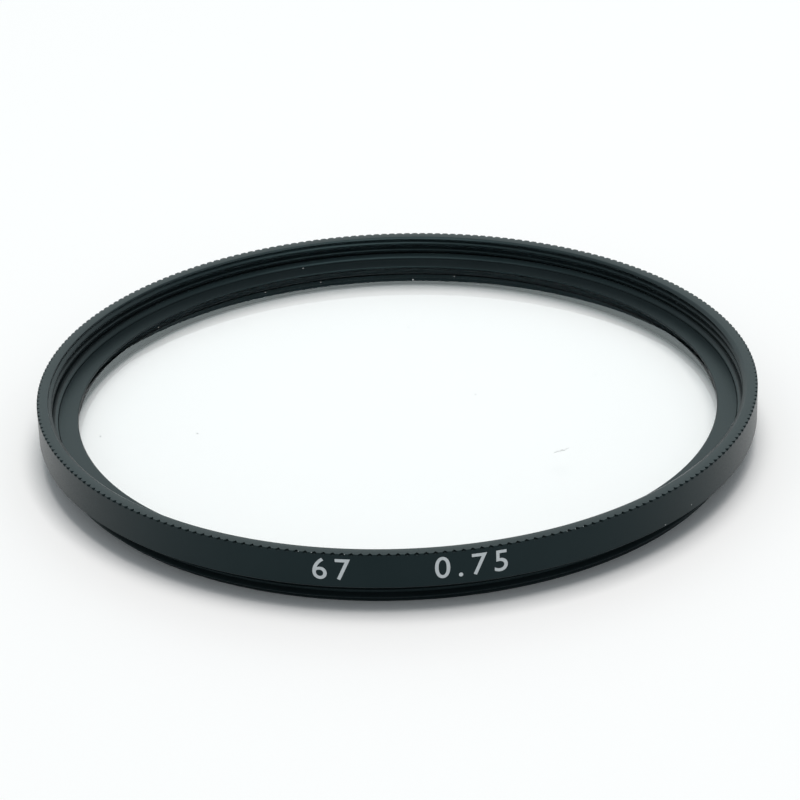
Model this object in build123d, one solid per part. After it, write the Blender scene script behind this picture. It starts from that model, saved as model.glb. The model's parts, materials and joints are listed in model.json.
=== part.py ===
from build123d import *
import os
from math import pi

# Threads: the rear male one goes into a lens, the front female one takes a hood, a cap or a second filter
thread_diameter = 67.0
thread_pitch = 0.75
thread_depth_per_pitch = 0.6134
male_thread_length = 2.50
male_thread_lead = 0.60
runout_groove_width = 0.40
female_thread_clearance = 0.05

# Smooth grip band, which stands out past the threads, and the flat land and lead-in round the front
grip_overhang = 1.50
grip_height = 3.40
front_land_width = 0.85
lead_in_depth = 0.25
shoulder_edge_break = 0.10

# Straight knurl: short V notches cut down over the front outer corner
knurl_pitch = 0.827
knurl_notch_depth = 0.28
knurl_notch_height = 0.14
knurl_notch_width = 0.45

# Glass disc with ground edges, in a pocket that leaves a thin wall behind the rear thread
pocket_wall_width = 0.74
glass_thickness = 2.00
glass_bevel = 0.20
glass_side_clearance = 0.10

# Rear ledge that the glass lies on
ledge_width = 0.60
ledge_thickness = 1.30

# Retaining ring over the glass, in a seat that a slope joins to the front thread
ring_seat_step = 0.45
ring_width = 1.925
ring_thickness = 0.40
ring_edge_break = 0.08
ring_side_clearance = 0.05
ring_clamp_gap = 0.05

# Radii that follow from these sizes
thread_radius = thread_diameter / 2
groove_radius = thread_radius - thread_pitch * thread_depth_per_pitch
bore_radius = thread_radius + female_thread_clearance
grip_radius = thread_radius + grip_overhang
land_inner_radius = grip_radius - front_land_width
pocket_radius = groove_radius - pocket_wall_width
glass_radius = pocket_radius - glass_side_clearance
ledge_radius = pocket_radius - ledge_width
seat_radius = bore_radius - ring_seat_step
ring_outer_radius = seat_radius - ring_side_clearance
ring_inner_radius = ring_outer_radius - ring_width

# Heights above the plane that the rear thread's end lies in
shoulder_height = male_thread_length
groove_height = shoulder_height - runout_groove_width
front_height = shoulder_height + grip_height
lead_in_height = front_height - lead_in_depth
glass_top_height = ledge_thickness + glass_thickness
pocket_mouth_height = glass_top_height - ring_clamp_gap
ring_top_height = glass_top_height + ring_thickness
seat_slope_height = ring_top_height + ring_seat_step


# A half section drawn as radius and height points
def section(*points):
    return make_face(Polyline(*points, close=True))


def turned(half_section):
    return revolve(Plane.XZ * half_section, Axis.Z)


# Frame: one turned ring, its section followed from the rear opening round the outside to the inside
def make_frame_blank():
    return turned(
        section(
            (ledge_radius, 0),
            (thread_radius - male_thread_lead, 0),
            (thread_radius, male_thread_lead),
            (thread_radius, groove_height),
            (groove_radius, groove_height),
            (bore_radius, shoulder_height),
            (grip_radius - shoulder_edge_break, shoulder_height),
            (grip_radius, shoulder_height + shoulder_edge_break),
            (grip_radius, front_height),
            (land_inner_radius, front_height),
            (bore_radius, lead_in_height),
            (bore_radius, seat_slope_height),
            (seat_radius, ring_top_height),
            (seat_radius, pocket_mouth_height),
            (pocket_radius, pocket_mouth_height),
            (pocket_radius, ledge_thickness),
            (ledge_radius, ledge_thickness),
        )
    )


# Knurl: one upright V cutter, which has the notch's full width at the grip's surface, set all round
def make_knurl_cutters():
    overshoot = knurl_notch_depth / 2
    reach = knurl_notch_depth + overshoot
    half_width = knurl_notch_width / 2 * reach / knurl_notch_depth
    root_radius = grip_radius - knurl_notch_depth
    notch = section(
        (root_radius, 0),
        (root_radius + reach, half_width),
        (root_radius + reach, -half_width),
    )
    cutter = Pos(0, 0, front_height - knurl_notch_height) * extrude(notch, knurl_notch_height + overshoot)
    knurl_count = round(2 * pi * grip_radius / knurl_pitch)
    return [Rot(0, 0, 360 * turn / knurl_count) * cutter for turn in range(knurl_count)]


def make_frame():
    return make_frame_blank() - make_knurl_cutters()


# Glass: a flat disc, bevelled alike on both edges
def make_glass():
    return turned(
        section(
            (0, ledge_thickness),
            (glass_radius - glass_bevel, ledge_thickness),
            (glass_radius, ledge_thickness + glass_bevel),
            (glass_radius, glass_top_height - glass_bevel),
            (glass_radius - glass_bevel, glass_top_height),
            (0, glass_top_height),
        )
    )


# Retaining ring: a flat ring with a broken edge round its opening
def make_ring():
    return turned(
        section(
            (ring_inner_radius, glass_top_height),
            (ring_outer_radius, glass_top_height),
            (ring_outer_radius, ring_top_height),
            (ring_inner_radius + ring_edge_break, ring_top_height),
            (ring_inner_radius, ring_top_height - ring_edge_break),
        )
    )


os.makedirs("parts", exist_ok=True)
export_step(make_frame(), "parts/filter_frame.step")
export_step(make_glass(), "parts/filter_glass.step")
export_step(make_ring(), "parts/retaining_ring.step")
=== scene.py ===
import json
import math
import random

import bmesh
import bpy
import numpy as np
from mathutils import Matrix, Vector


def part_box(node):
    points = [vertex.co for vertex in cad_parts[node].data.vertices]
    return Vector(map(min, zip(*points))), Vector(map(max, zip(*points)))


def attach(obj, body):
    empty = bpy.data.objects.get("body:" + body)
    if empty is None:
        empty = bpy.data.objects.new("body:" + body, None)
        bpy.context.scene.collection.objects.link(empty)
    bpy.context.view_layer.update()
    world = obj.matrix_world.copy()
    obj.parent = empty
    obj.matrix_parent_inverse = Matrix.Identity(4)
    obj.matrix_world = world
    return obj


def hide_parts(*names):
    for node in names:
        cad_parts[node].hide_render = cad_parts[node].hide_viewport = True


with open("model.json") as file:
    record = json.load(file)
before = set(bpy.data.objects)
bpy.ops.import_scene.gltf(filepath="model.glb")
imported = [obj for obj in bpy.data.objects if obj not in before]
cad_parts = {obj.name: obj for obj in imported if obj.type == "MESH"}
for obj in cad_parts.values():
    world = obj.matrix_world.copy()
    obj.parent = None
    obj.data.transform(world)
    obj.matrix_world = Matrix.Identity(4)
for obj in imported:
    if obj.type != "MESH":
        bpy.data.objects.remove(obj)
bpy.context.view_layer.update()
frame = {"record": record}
mm = 0.001
fullTurn = 2 * math.pi
weldGap = 0.0004 * mm  # points closer together than this become one
sharpAngle = 30.0  # degrees from which a corner stays crisp

# Sizes that the CAD model gives, in millimetres
mounts = {mount["name"]: mount for mount in frame["record"]["mounts"]}
frameHigh = Vector(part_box("filter_frame")[1]) / mm
glassLow, glassHigh = [Vector(corner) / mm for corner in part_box("filter_glass")]
ringLow, ringHigh = [Vector(corner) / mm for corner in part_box("retaining_ring")]
gripRadius = round(frameHigh.x, 3)
frontHeight = round(frameHigh.z, 3)
shoulderHeight = mounts["lens_shoulder"]["pos_m"][2] / mm
maleRadius = mounts["male_thread"]["dims"]["r_mm"]
femaleRadius = mounts["female_thread"]["dims"]["r_mm"]
print("frame loaded, grip radius", gripRadius, "mm, height", frontHeight, "mm")


# Colours are written as sRGB hex
def linearColour(hexCode):
    channels = [int(hexCode[start:start + 2], 16) / 255 for start in (1, 3, 5)]
    return [c / 12.92 if c <= 0.04045 else ((c + 0.055) / 1.055) ** 2.4 for c in channels] + [1.0]


# Texture scale for a pattern whose marks are so many millimetres wide
def perMm(markWidth):
    return 1 / (markWidth * mm)


# Adds a node, with plain settings by name and inputs as values or as sockets to link.
# A mix of two colours takes them at inputs 6 and 7 and gives its result at output 2
def addNode(tree, kind, inputs=None, **settings):
    node = tree.nodes.new(kind)
    for name, value in settings.items():
        setattr(node, name, value)
    for name, value in (inputs or {}).items():
        if isinstance(value, bpy.types.NodeSocket):
            tree.links.new(value, node.inputs[name])
        else:
            node.inputs[name].default_value = value
    return node


def newMaterial(name):
    material = bpy.data.materials.new(name)
    material.use_nodes = True
    material.node_tree.nodes.clear()
    return material, material.node_tree


# Makes an object from points in millimetres, smooth but for its sharp corners
def meshPiece(name, points, faces, material):
    mesh = bpy.data.meshes.new(name)
    mesh.from_pydata([tuple(point) for point in np.asarray(points) * mm], [], faces)
    edit = bmesh.new()
    edit.from_mesh(mesh)
    bmesh.ops.remove_doubles(edit, verts=edit.verts, dist=weldGap)
    bmesh.ops.dissolve_degenerate(edit, edges=edit.edges, dist=weldGap)
    bmesh.ops.recalc_face_normals(edit, faces=edit.faces)
    edit.to_mesh(mesh)
    edit.free()
    mesh.shade_smooth()
    mesh.set_sharp_from_angle(angle=math.radians(sharpAngle))
    mesh.materials.append(material)
    piece = bpy.data.objects.new(name, mesh)
    bpy.context.collection.objects.link(piece)
    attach(piece, "root")
    print(name, "has", sum(len(face.vertices) - 2 for face in mesh.polygons), "triangles")
    return piece


# Closed ring through rows of (radius, height), each a number or one value per angle
def turnedPiece(name, rows, angles, material):
    rowCount, columnCount = len(rows), len(angles)
    radius = np.array([np.broadcast_to(row[0], columnCount) for row in rows])
    height = np.array([np.broadcast_to(row[1], columnCount) for row in rows])
    points = np.stack([radius * np.cos(angles), radius * np.sin(angles), height], axis=2).reshape(-1, 3)
    faces = []
    for row in range(rowCount):
        below = row * columnCount
        above = (row + 1) % rowCount * columnCount
        for column in range(columnCount - 1):
            faces.append((below + column, below + column + 1, above + column + 1, above + column))
    return meshPiece(name, points, faces, material)


# Rows along a right-hand thread, cut off level at its two ends and trimmed by a lead cone
def threadRows(thread, angles, trim):
    pitch = thread["pitch"]
    flank = abs(thread["rootFromCrest"]) * math.tan(math.radians(thread["flankAngle"]))
    halfCrest = thread["crestFlat"] / 2
    edge = thread["crestRound"]
    crest = thread["crestRadius"]
    root = crest + thread["rootFromCrest"]
    soft = crest + (root - crest) * edge / flank
    profile = [
        (-halfCrest - flank, root),
        (-halfCrest - edge, soft),
        (-halfCrest + edge, crest),
        (halfCrest - edge, crest),
        (halfCrest + edge, soft),
        (halfCrest + flank, root),
    ]
    offsets, radii = zip(*profile)
    ends = offsets[1:] + (offsets[0] + pitch,)
    parts = np.arange(thread["steps"]) / thread["steps"]
    levels = [start + (end - start) * part for start, end in zip(offsets, ends) for part in parts]
    rise = thread["crestHeight"] + pitch * (np.degrees(angles) - thread["crestAngle"]) / 360
    firstTurn = math.floor((thread["low"] - rise.max()) / pitch) - 1
    lastTurn = math.ceil((thread["high"] - rise.min()) / pitch) + 1
    rows = []
    for turn in range(firstTurn, lastTurn + 1):
        for offset in levels:
            height = np.clip(rise + turn * pitch + offset, thread["low"], thread["high"])
            phase = (height - rise + pitch / 2) % pitch - pitch / 2
            radius = np.interp(phase, offsets, radii, period=pitch)
            rows.append((trim(height, radius), height))
    return rows


# Black anodised aluminium, turned and then etched matt: a cool black
# whose satin sheen grows towards grazing light
def makeAnodised(name, look):
    material, tree = newMaterial(name)
    where = addNode(tree, "ShaderNodeTexCoord").outputs["Object"]
    cloud = addNode(tree, "ShaderNodeTexNoise", {
        "Vector": where, "Scale": perMm(look["cloudMm"]), "Detail": look["cloudDetail"]})
    grit = addNode(tree, "ShaderNodeTexNoise", {
        "Vector": where, "Scale": perMm(look["gritMm"]), "Detail": look["gritDetail"]})
    noiseLow, noiseHigh = look["noiseRange"]
    dye = addNode(tree, "ShaderNodeValToRGB", {"Fac": cloud.outputs["Fac"]})
    dye.color_ramp.elements[0].position = noiseLow
    dye.color_ramp.elements[0].color = linearColour(look["darkDye"])
    dye.color_ramp.elements[1].position = noiseHigh
    dye.color_ramp.elements[1].color = linearColour(look["paleDye"])
    sheen = addNode(tree, "ShaderNodeMapRange", {
        "Value": grit.outputs["Fac"], "From Min": noiseLow, "From Max": noiseHigh,
        "To Min": look["roughness"] - look["roughnessSpread"],
        "To Max": look["roughness"] + look["roughnessSpread"],
    })
    bump = addNode(tree, "ShaderNodeBump", {
        "Height": grit.outputs["Fac"],
        "Strength": look["gritStrength"],
        "Distance": look["gritDepthMm"] * mm,
    })
    wear = addNode(tree, "ShaderNodeAttribute", attribute_name="wear")
    bare = addNode(tree, "ShaderNodeMapRange", {
        "Value": wear.outputs["Fac"], "From Min": look["wornFrom"], "From Max": look["bareFrom"]})
    colour = addNode(tree, "ShaderNodeMix", {
        "Factor": bare.outputs["Result"],
        6: dye.outputs["Color"],
        7: linearColour(look["bareMetal"]),
    }, data_type="RGBA")
    metal = addNode(tree, "ShaderNodeBsdfPrincipled", {
        "Base Color": colour.outputs[2],
        "Metallic": bare.outputs["Result"],
        "Specular IOR Level": look["specular"],
        "Specular Tint": linearColour(look["sheenTint"]),
        "Roughness": sheen.outputs["Result"],
        "Normal": bump.outputs["Normal"],
    })
    addNode(tree, "ShaderNodeOutputMaterial", {"Surface": metal.outputs["BSDF"]})
    return material


frameLook = {
    "darkDye": "#141b1d",
    "paleDye": "#181f21",
    "bareMetal": "#d4d8da",
    "wornFrom": 0.75,  # the black thins out from this much wear
    "bareFrom": 0.9,  # and is gone from this much
    "sheenTint": "#b4e8f0",
    "specular": 0.19,
    "roughness": 0.34,
    "roughnessSpread": 0.06,
    "noiseRange": (0.3, 0.7),  # most of what a noise texture gives lies between these
    "cloudMm": 6.0,
    "cloudDetail": 4.0,
    "gritMm": 0.12,  # the etch is nearer 0.03 mm, drawn coarser so that it shows
    "gritDetail": 2.0,
    "gritDepthMm": 0.004,
    "gritStrength": 0.35,
}
anodisedFrame = makeAnodised("blackAnodisedAluminiumTurned", frameLook)

ringLook = dict(frameLook, roughness=0.38, gritMm=0.1)
anodisedRing = makeAnodised("blackAnodisedAluminiumMatt", ringLook)
print("metal made")

# Frame: knurled grip, front land, both threads, ring seat and glass pocket in one turned piece
frameSize = {
    "knurlCount": 266,
    "notchWidth": 0.45,
    "notchDepth": 0.28,
    "notchHeight": 0.14,
    "notchLean": 0.01,
    "cornerBreak": 0.03,
    "bandBelowNotch": 0.30,  # this row of faces and the next keep the shading even beside the notches
    "landPastNotch": 0.10,
    "landWidth": 1.03,
    "landEdgeBreak": 0.03,
    "leadAngle": 31.0,  # slope of the lead-in below the land
    "seatStep": 0.45,
    "seatFillet": 0.45,
    "filletSteps": 6,
    "pocketWall": 0.74,
    "ledgeWidth": 0.60,
    "ledgeThickness": 1.30,
    "edgeBreak": 0.10,
    "ledgeEdgeBreak": 0.45,
    "maleLead": 0.60,
    "grooveWidth": 0.40,
    "grooveDepth": 0.46,
    "crestSetback": 0.03,  # how far the front thread's ridges lie outside the bore's radius
    "mouthGap": 0.05,
}
maleThread = {
    "pitch": 0.75,
    "flankAngle": 30.0,
    "crestFlat": 0.09,
    "crestRound": 0.02,
    "crestRadius": maleRadius,
    "rootFromCrest": -0.44,
    "steps": 1,  # rows of faces on each side of a ridge
    "crestHeight": 0.72,  # where one ridge passes crestAngle
    "crestAngle": 270.0,
    "low": 0.10,
    "high": shoulderHeight - frameSize["grooveWidth"],
}
femaleThread = {
    "pitch": 0.75,
    "flankAngle": 30.0,
    "crestFlat": 0.23,
    "crestRound": 0.02,
    "crestRadius": femaleRadius + frameSize["crestSetback"],
    "rootFromCrest": 0.32,
    "steps": 3,
    "crestHeight": 4.455,
    "crestAngle": 90.0,
    "low": 4.12,
    "high": 5.79,
}


def makeFrame():
    size = frameSize
    pitchAngle = fullTurn / size["knurlCount"]
    halfNotch = math.asin(size["notchWidth"] / 2 / gripRadius)
    notchTurns = (0, halfNotch, pitchAngle - halfNotch)  # its bottom, then both ends of the flat beside it
    angles = []
    for notch in range(size["knurlCount"]):
        angles += [notch * pitchAngle + turn for turn in notchTurns]
    angles = np.array(angles + [fullTurn])
    inNotch = np.arange(len(angles)) % len(notchTurns) == 0
    grooveRadius = maleRadius - size["grooveDepth"]
    pocketRadius = grooveRadius - size["pocketWall"]
    ledgeRadius = pocketRadius - size["ledgeWidth"]
    landRadius = gripRadius - size["landWidth"]
    seatRadius = femaleRadius - size["seatStep"]
    ringTop = ringHigh.z
    mouth = glassHigh.z - size["mouthGap"]
    leadSlope = math.tan(math.radians(size["leadAngle"]))
    notchFloor = frontHeight - size["notchHeight"]

    def maleTrim(height, radius):
        return np.minimum(radius, maleRadius - size["maleLead"] + height)

    def femaleTrim(height, radius):
        return np.maximum(radius, landRadius - (frontHeight - height) / leadSlope)

    def notched(depth, plain):
        return np.where(inNotch, gripRadius - depth, plain)

    rows = [
        (ledgeRadius, size["ledgeThickness"]),
        (ledgeRadius, size["ledgeEdgeBreak"]),
        (ledgeRadius + size["ledgeEdgeBreak"], 0),
        (maleRadius - size["maleLead"], 0),
    ]
    rows += threadRows(maleThread, angles, maleTrim)
    rows += [
        (grooveRadius, maleThread["high"]),
        (femaleRadius, shoulderHeight),
        (gripRadius - size["edgeBreak"], shoulderHeight),
        (gripRadius, shoulderHeight + size["edgeBreak"]),
        (gripRadius, notchFloor - size["bandBelowNotch"]),
        (gripRadius, notchFloor),
        (notched(size["notchDepth"], gripRadius), notchFloor),
        (notched(size["notchDepth"], gripRadius), frontHeight - size["cornerBreak"]),
        (notched(size["notchDepth"] + size["notchLean"], gripRadius - size["cornerBreak"]), frontHeight),
        (gripRadius - size["notchDepth"] - size["landPastNotch"], frontHeight),
        (landRadius + size["landEdgeBreak"], frontHeight),
        (landRadius - size["landEdgeBreak"] / 2, frontHeight - size["landEdgeBreak"] / 2 * leadSlope),
    ]
    rows += threadRows(femaleThread, angles, femaleTrim)[::-1]
    for step in range(size["filletSteps"] + 1):
        turn = math.radians(90 * step / size["filletSteps"])
        rows.append((
            seatRadius + size["seatFillet"] * math.cos(turn),
            ringTop + size["seatFillet"] * (1 - math.sin(turn)),
        ))
    rows += [
        (seatRadius, mouth),
        (pocketRadius, mouth),
        (pocketRadius, size["ledgeThickness"]),
    ]
    return turnedPiece("filter_frame_turned", rows, angles, anodisedFrame)


framePiece = makeFrame()
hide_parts("filter_frame")

# Handling has knocked the black off a few corners of the knurl, given here by their angle round the rim
nickSize = {"angles": (254.80, 256.77, 261.57, 294.67, 296.02, 297.38), "reach": 0.24}


def makeNicks(piece):
    points = np.array([vertex.co for vertex in piece.data.vertices]) / mm
    turns = np.radians(nickSize["angles"])
    corners = np.stack([
        gripRadius * np.cos(turns), gripRadius * np.sin(turns), np.full(len(turns), frontHeight)], axis=1)
    away = np.linalg.norm(points[:, None, :] - corners[None, :, :], axis=2).min(axis=1)
    wear = piece.data.attributes.new("wear", "FLOAT", "POINT")
    wear.data.foreach_set("value", np.clip(1 - away / nickSize["reach"], 0, 1).astype(np.float32))


makeNicks(framePiece)

# Size marks, screen-printed on the grip in white ink that is a little uneven: plain numbers only
markLook = {
    "thickInk": "#ccd2d5",
    "thinInk": "#b4bbbe",
    "roughness": 0.6,
    "specular": 0.3,
    "unevenMm": 0.25,
    "unevenDetail": 3.0,
}
markSize = {
    "texts": (("67", 259.5), ("0.75", 280.0)),  # each with its angle round the grip
    "height": 2.15,
    "baseline": 3.28,
    "spacing": 1.35,
    "bolder": 0.004,
    "ink": 0.01,
    "sliceWidth": 0.25,
    "curveSteps": 6,
}


def makeInk():
    look = markLook
    material, tree = newMaterial("whiteInkScreenPrinted")
    where = addNode(tree, "ShaderNodeTexCoord").outputs["Object"]
    cover = addNode(tree, "ShaderNodeTexNoise", {
        "Vector": where, "Scale": perMm(look["unevenMm"]), "Detail": look["unevenDetail"]})
    colour = addNode(tree, "ShaderNodeMix", {
        "Factor": cover.outputs["Fac"],
        6: linearColour(look["thinInk"]),
        7: linearColour(look["thickInk"]),
    }, data_type="RGBA")
    ink = addNode(tree, "ShaderNodeBsdfPrincipled", {
        "Base Color": colour.outputs[2],
        "Roughness": look["roughness"],
        "Specular IOR Level": look["specular"],
    })
    addNode(tree, "ShaderNodeOutputMaterial", {"Surface": ink.outputs["BSDF"]})
    return material


# Flat characters are cut into narrow upright slices, given the ink's thickness and bent round the grip
def makeMarks():
    size = markSize
    points, faces = [], []
    for text, angle in size["texts"]:
        letters = bpy.data.curves.new("size_marks", "FONT")
        letters.body = text
        letters.align_x = "CENTER"
        letters.space_character = size["spacing"]
        letters.offset = size["bolder"]
        letters.resolution_u = size["curveSteps"]
        holder = bpy.data.objects.new("size_marks", letters)
        flat = bpy.data.meshes.new_from_object(holder)
        edit = bmesh.new()
        edit.from_mesh(flat)
        bpy.data.objects.remove(holder)
        bpy.data.curves.remove(letters)
        bpy.data.meshes.remove(flat)
        low = min(vertex.co.y for vertex in edit.verts)
        scale = size["height"] / (max(vertex.co.y for vertex in edit.verts) - low)
        for vertex in edit.verts:
            vertex.co = (vertex.co.x * scale, (vertex.co.y - low) * scale, 0)
        reach = max(abs(vertex.co.x) for vertex in edit.verts)
        for cut in np.arange(-reach, reach, size["sliceWidth"]):
            whole = edit.verts[:] + edit.edges[:] + edit.faces[:]
            bmesh.ops.bisect_plane(edit, geom=whole, plane_co=(cut, 0, 0), plane_no=(1, 0, 0))
        bmesh.ops.triangulate(edit, faces=edit.faces[:])
        grown = bmesh.ops.extrude_face_region(edit, geom=edit.faces[:], use_keep_orig=True)
        for item in grown["geom"]:
            if isinstance(item, bmesh.types.BMVert):
                item.co.z = 2 * size["ink"]
        edit.verts.index_update()
        first = len(points)
        for vertex in edit.verts:
            turn = math.radians(angle) + vertex.co.x / gripRadius
            radius = gripRadius - size["ink"] + vertex.co.z
            points.append((radius * math.cos(turn), radius * math.sin(turn), size["baseline"] + vertex.co.y))
        faces += [tuple(first + vertex.index for vertex in face.verts) for face in edit.faces]
        edit.free()
    return meshPiece("size_marks_ink", points, faces, makeInk())


makeMarks()

# Retaining ring: flat, with three of its edges broken, the lower inner one the most
ringSize = {"width": 1.925, "edgeBreak": 0.08, "outerBreak": 0.03, "lowerBreak": 0.24, "segments": 512}


def makeRing():
    size = ringSize
    outer = ringHigh.x
    inner = outer - size["width"]
    rows = [
        (inner, ringLow.z + size["lowerBreak"]),
        (inner + size["lowerBreak"], ringLow.z),
        (outer, ringLow.z),
        (outer, ringHigh.z - size["outerBreak"]),
        (outer - size["outerBreak"], ringHigh.z),
        (inner + size["edgeBreak"], ringHigh.z),
        (inner, ringHigh.z - size["edgeBreak"]),
    ]
    angles = np.linspace(0, fullTurn, size["segments"] + 1)
    return turnedPiece("retaining_ring_turned", rows, angles, anodisedRing)


ringPiece = makeRing()
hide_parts("retaining_ring")

# Optical glass: the polished and coated faces are nearly invisible, the ground edge is frosted and dull
glassSize = {"bevel": 0.20, "segments": 384}
glassLook = {
    "tint": "#fcfcfc",
    "throughTint": "#fcfcfc",  # for the light that falls through onto what lies behind
    "ior": 1.36,  # low for glass, since the coating weakens the mirror images
    "faceRoughness": 0.0,
    "edgeTint": "#1e2c2f",
    "edgeRoughness": 0.55,
    "edgeSpecular": 0.2,
    "grindMm": 0.05,
    "grindDetail": 2.0,
    "grindDepthMm": 0.01,
    "grindStrength": 0.5,
}


def makeGlassFace():
    look = glassLook
    material, tree = newMaterial("opticalGlassCoated")
    glass = addNode(tree, "ShaderNodeBsdfPrincipled", {
        "Base Color": linearColour(look["tint"]),
        "Roughness": look["faceRoughness"],
        "IOR": look["ior"],
        "Transmission Weight": 1.0,
    })
    clear = addNode(tree, "ShaderNodeBsdfTransparent", {"Color": linearColour(look["throughTint"])})
    ray = addNode(tree, "ShaderNodeLightPath")
    lighting = addNode(tree, "ShaderNodeMath", {
        0: ray.outputs["Is Shadow Ray"], 1: ray.outputs["Is Diffuse Ray"]}, operation="MAXIMUM")
    shader = addNode(tree, "ShaderNodeMixShader", {
        0: lighting.outputs[0], 1: glass.outputs["BSDF"], 2: clear.outputs["BSDF"]})
    addNode(tree, "ShaderNodeOutputMaterial", {"Surface": shader.outputs["Shader"]})
    return material


def makeGlassEdge():
    look = glassLook
    material, tree = newMaterial("opticalGlassGround")
    where = addNode(tree, "ShaderNodeTexCoord").outputs["Object"]
    grind = addNode(tree, "ShaderNodeTexNoise", {
        "Vector": where, "Scale": perMm(look["grindMm"]), "Detail": look["grindDetail"]})
    bump = addNode(tree, "ShaderNodeBump", {
        "Height": grind.outputs["Fac"],
        "Strength": look["grindStrength"],
        "Distance": look["grindDepthMm"] * mm,
    })
    frosted = addNode(tree, "ShaderNodeBsdfPrincipled", {
        "Base Color": linearColour(look["edgeTint"]),
        "Roughness": look["edgeRoughness"],
        "Specular IOR Level": look["edgeSpecular"],
        "Normal": bump.outputs["Normal"],
    })
    addNode(tree, "ShaderNodeOutputMaterial", {"Surface": frosted.outputs["BSDF"]})
    return material


def makeGlass():
    size = glassSize
    radius = glassHigh.x
    angles = np.linspace(0, fullTurn, size["segments"], endpoint=False)
    section = [
        (radius - size["bevel"], glassLow.z),
        (radius, glassLow.z + size["bevel"]),
        (radius, glassHigh.z - size["bevel"]),
        (radius - size["bevel"], glassHigh.z),
    ]
    points = [(r * math.cos(a), r * math.sin(a), z) for r, z in section for a in angles]
    count = len(angles)
    bands = len(section) - 1
    faces = [tuple(range(count))[::-1], tuple(range(bands * count, len(points)))]
    for row in range(bands):
        for column in range(count):
            nextColumn = (column + 1) % count
            faces.append((
                row * count + column, row * count + nextColumn,
                (row + 1) * count + nextColumn, (row + 1) * count + column,
            ))
    piece = meshPiece("filter_glass_disc", points, faces, makeGlassFace())
    piece.data.materials.append(makeGlassEdge())
    for face in piece.data.polygons:
        face.material_index = int(len(face.vertices) == 4)  # the narrow faces round the edge are ground
    return piece


glassPiece = makeGlass()
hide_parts("filter_glass")

# Dust: a few pale grains and darker flecks on the glass, the ring and the grip, each flattened and dull.
# They are given as x, y, z, radius and stretch, then the angle that each is turned by on its surface
dustLook = {
    "pale": "#d9dcdc",
    "dark": "#a3a9a9",
    "shade": 0.7,  # how much of its colour a grain keeps where it is darkest
    "roughness": 0.9,
    "specular": 0.1,
    "mottleMm": 0.03,
    "mottleDetail": 2.0,
}
dustSize = {
    "pale": (
        (-13.53, 26.54, glassHigh.z, 0.05, 1.4, 30),
        (-7.70, 28.65, glassHigh.z, 0.05, 1.2, 80),
        (2.09, 28.46, glassHigh.z, 0.07, 1.5, 100),
        (6.48, 28.96, glassHigh.z, 0.05, 1.3, 10),
        (8.96, 26.74, glassHigh.z, 0.06, 1.2, 60),
        (-24.41, 18.79, glassHigh.z, 0.05, 1.6, 120),
        (-9.60, 31.50, ringHigh.z, 0.06, 1.3, 20),
        (14.72, -11.92, glassHigh.z, 0.06, 2.0, 28),
        (14.98, -11.70, glassHigh.z, 0.06, 2.4, 10),
        (15.20, -11.82, glassHigh.z, 0.05, 1.8, 40),
        (15.36, -11.52, glassHigh.z, 0.07, 2.6, 30),
        (15.58, -11.60, glassHigh.z, 0.06, 2.2, 15),
        (15.80, -11.30, glassHigh.z, 0.06, 2.0, 45),
        (16.02, -11.14, glassHigh.z, 0.05, 1.6, 25),
        (23.87, -25.60, 2.72, 0.045, 1.4, 15),
        (26.51, -22.85, 3.20, 0.04, 1.1, 50),
    ),
    "dark": (
        (7.68, 0.86, glassHigh.z, 0.06, 1.3, 20),
        (-28.71, -5.38, glassHigh.z, 0.07, 1.2, 70),
        (-19.36, -5.46, glassHigh.z, 0.05, 2.5, 160),
        (19.72, 4.37, glassHigh.z, 0.05, 1.2, 0),
        (1.39, 16.72, glassHigh.z, 0.05, 1.5, 45),
    ),
    "flatten": 0.45,
    "lift": 0.8,  # in radii, so that a grain sinks a little into what it lies on
    "lumps": (0.8, 1.15),
    "subdivisions": 2,
    "gripMargin": 0.1,  # a grain this near to the grip's radius lies on the grip
    "seed": 7,
}


def makeDust(kind):
    look, size = dustLook, dustSize
    material, tree = newMaterial(kind + "DustMatt")
    where = addNode(tree, "ShaderNodeTexCoord").outputs["Object"]
    mottle = addNode(tree, "ShaderNodeTexNoise", {
        "Vector": where, "Scale": perMm(look["mottleMm"]), "Detail": look["mottleDetail"]})
    shade = [channel * look["shade"] for channel in linearColour(look[kind])[:3]] + [1.0]
    colour = addNode(tree, "ShaderNodeMix", {
        "Factor": mottle.outputs["Fac"], 6: shade, 7: linearColour(look[kind])}, data_type="RGBA")
    fluff = addNode(tree, "ShaderNodeBsdfPrincipled", {
        "Base Color": colour.outputs[2],
        "Roughness": look["roughness"],
        "Specular IOR Level": look["specular"],
    })
    addNode(tree, "ShaderNodeOutputMaterial", {"Surface": fluff.outputs["BSDF"]})
    chance = random.Random(size["seed"])
    points, faces = [], []
    for x, y, z, radius, stretch, turn in size[kind]:
        place = Vector((x, y, z))
        onGrip = place.xy.length > gripRadius - size["gripMargin"]
        away = Vector((x, y, 0)) if onGrip else Vector((0, 0, 1))
        lie = away.to_track_quat("Z", "Y").to_matrix() @ Matrix.Rotation(math.radians(turn), 3, "Z")
        edit = bmesh.new()
        bmesh.ops.create_icosphere(edit, subdivisions=size["subdivisions"], radius=radius)
        edit.verts.index_update()
        first = len(points)
        for vertex in edit.verts:
            along, across, up = vertex.co * chance.uniform(*size["lumps"])
            height = (up + radius * size["lift"]) * size["flatten"]
            points.append(place + lie @ Vector((along * stretch, across, height)))
        faces += [tuple(first + vertex.index for vertex in face.verts) for face in edit.faces]
        edit.free()
    return meshPiece("dust_" + kind, points, faces, material)


for dustKind in ("pale", "dark"):
    makeDust(dustKind)

# White sweep under the object, matt acrylic: it takes the soft shadow and shines back on the metal
floorLook = {"colour": "#fdfefe", "roughness": 0.6, "specular": 0.0, "size": 4000.0}


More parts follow.
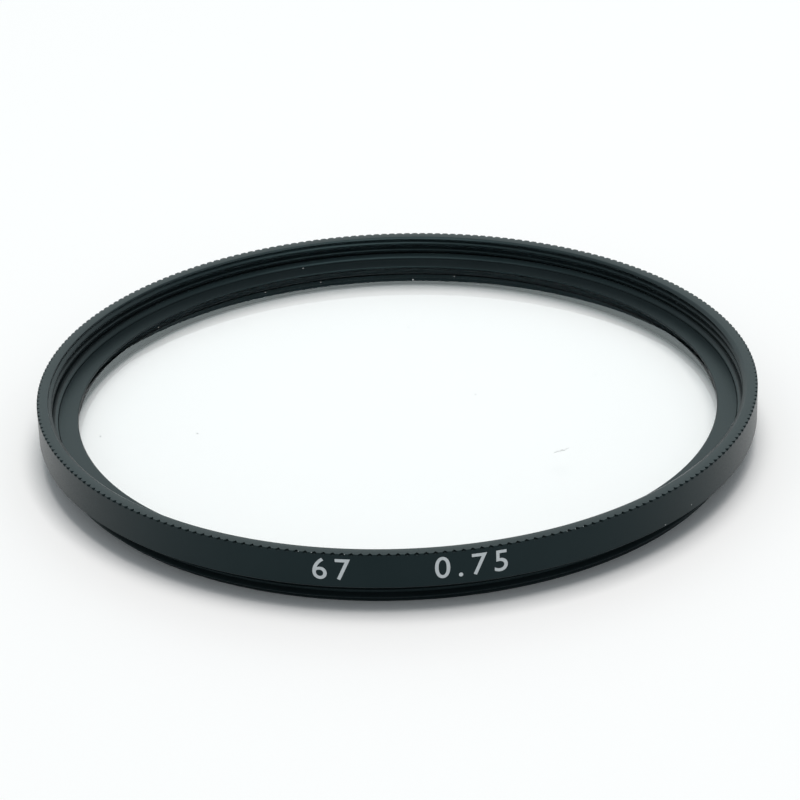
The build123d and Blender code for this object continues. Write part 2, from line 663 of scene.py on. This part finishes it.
def makeFloor():
    material, tree = newMaterial("whiteAcrylicMatt")
    sheet = addNode(tree, "ShaderNodeBsdfPrincipled", {
        "Base Color": linearColour(floorLook["colour"]),
        "Roughness": floorLook["roughness"],
        "Specular IOR Level": floorLook["specular"],
    })
    addNode(tree, "ShaderNodeOutputMaterial", {"Surface": sheet.outputs["BSDF"]})
    half = floorLook["size"] * mm / 2
    corners = [(-half, -half, 0), (half, -half, 0), (half, half, 0), (-half, half, 0)]
    mesh = bpy.data.meshes.new("white_sweep")
    mesh.from_pydata(corners, [], [(0, 1, 2, 3)])
    mesh.materials.append(material)
    floor = bpy.data.objects.new("white_sweep", mesh)
    bpy.context.collection.objects.link(floor)


makeFloor()
print("floor made")

# Light: an even surround, a wide soft lamp overhead, and a wide panel behind, which the land mirrors.
# Places and sizes are in metres here
light = {
    "surround": 0.455,
    "surroundColour": "#f4fbff",  # cooler than the lamp, which shows in the shadows
    "background": 1.0,  # what the camera, the mirror images and the glass show of the surround
    "backgroundColour": "#ffffff",
    "overhead": {"place": (0.045, 0.02, 0.85), "size": (0.60, 0.42), "watts": 4.54, "colour": "#fffaf7"},
    "panel": {"place": (0.0, 1.00, 0.54), "size": (0.95, 0.60), "watts": 1.05, "colour": "#d8ffff"},
}


def makeLamp(name):
    lampData = bpy.data.lights.new(name, "AREA")
    lampData.shape = "RECTANGLE"
    lampData.size, lampData.size_y = light[name]["size"]
    lampData.energy = light[name]["watts"]
    lampData.color = linearColour(light[name]["colour"])[:3]
    lamp = bpy.data.objects.new(name, lampData)
    lamp.location = light[name]["place"]
    lamp.rotation_euler = Vector(light[name]["place"]).to_track_quat("Z", "Y").to_euler()
    bpy.context.collection.objects.link(lamp)


def makeLight():
    world = bpy.data.worlds.new("whiteSurround")
    bpy.context.scene.world = world
    world.use_nodes = True
    tree = world.node_tree
    tree.nodes.clear()
    ray = addNode(tree, "ShaderNodeLightPath")
    seen = addNode(tree, "ShaderNodeMath", {
        0: ray.outputs["Is Camera Ray"], 1: ray.outputs["Is Glossy Ray"]}, operation="MAXIMUM")
    seenThrough = addNode(tree, "ShaderNodeMath", {
        0: seen.outputs[0], 1: ray.outputs["Is Transmission Ray"]}, operation="MAXIMUM")
    level = addNode(tree, "ShaderNodeMapRange", {
        "Value": seenThrough.outputs[0], "To Min": light["surround"], "To Max": light["background"]})
    tone = addNode(tree, "ShaderNodeMix", {
        "Factor": seenThrough.outputs[0],
        6: linearColour(light["surroundColour"]),
        7: linearColour(light["backgroundColour"]),
    }, data_type="RGBA")
    sky = addNode(tree, "ShaderNodeBackground", {
        "Color": tone.outputs[2], "Strength": level.outputs["Result"]})
    addNode(tree, "ShaderNodeOutputWorld", {"Surface": sky.outputs["Background"]})
    makeLamp("overhead")
    makeLamp("panel")


makeLight()
print("light made")

# Camera: low in front, its picture turned a little, as the photograph was taken.
# Lengths are in millimetres and angles in degrees
view = {
    "distance": 305.07,
    "elevation": 27.2816,
    "pan": -0.0475,
    "tilt": 0.5729,
    "roll": -1.9694,
    "focalPixels": 3101.018,
    "picturePixels": 800,
    "sensor": 36.0,
    "nearest": 10.0,
}


def makeCamera():
    elevation = math.radians(view["elevation"])
    place = Vector((0, -math.cos(elevation), math.sin(elevation))) * view["distance"] * mm
    ahead = -place.normalized()
    right = ahead.cross(Vector((0, 0, 1))).normalized()
    up = right.cross(ahead)
    level = Matrix((right, up, -ahead))
    pan = Matrix.Rotation(math.radians(view["pan"]), 3, "Y").transposed()
    tilt = Matrix.Rotation(math.radians(view["tilt"]), 3, "X").transposed()
    roll = Matrix.Rotation(math.radians(view["roll"]), 3, "Z").transposed()
    turned = roll @ tilt @ pan @ level
    cameraData = bpy.data.cameras.new("camera")
    cameraData.sensor_width = view["sensor"]
    cameraData.lens = view["focalPixels"] / view["picturePixels"] * view["sensor"]
    cameraData.clip_start = view["nearest"] * mm
    camera = bpy.data.objects.new("camera", cameraData)
    camera.matrix_world = Matrix.Translation(place) @ turned.transposed().to_4x4()
    bpy.context.collection.objects.link(camera)
    bpy.context.scene.camera = camera


makeCamera()
bpy.context.scene.view_settings.view_transform = "Standard"

print("scene made")
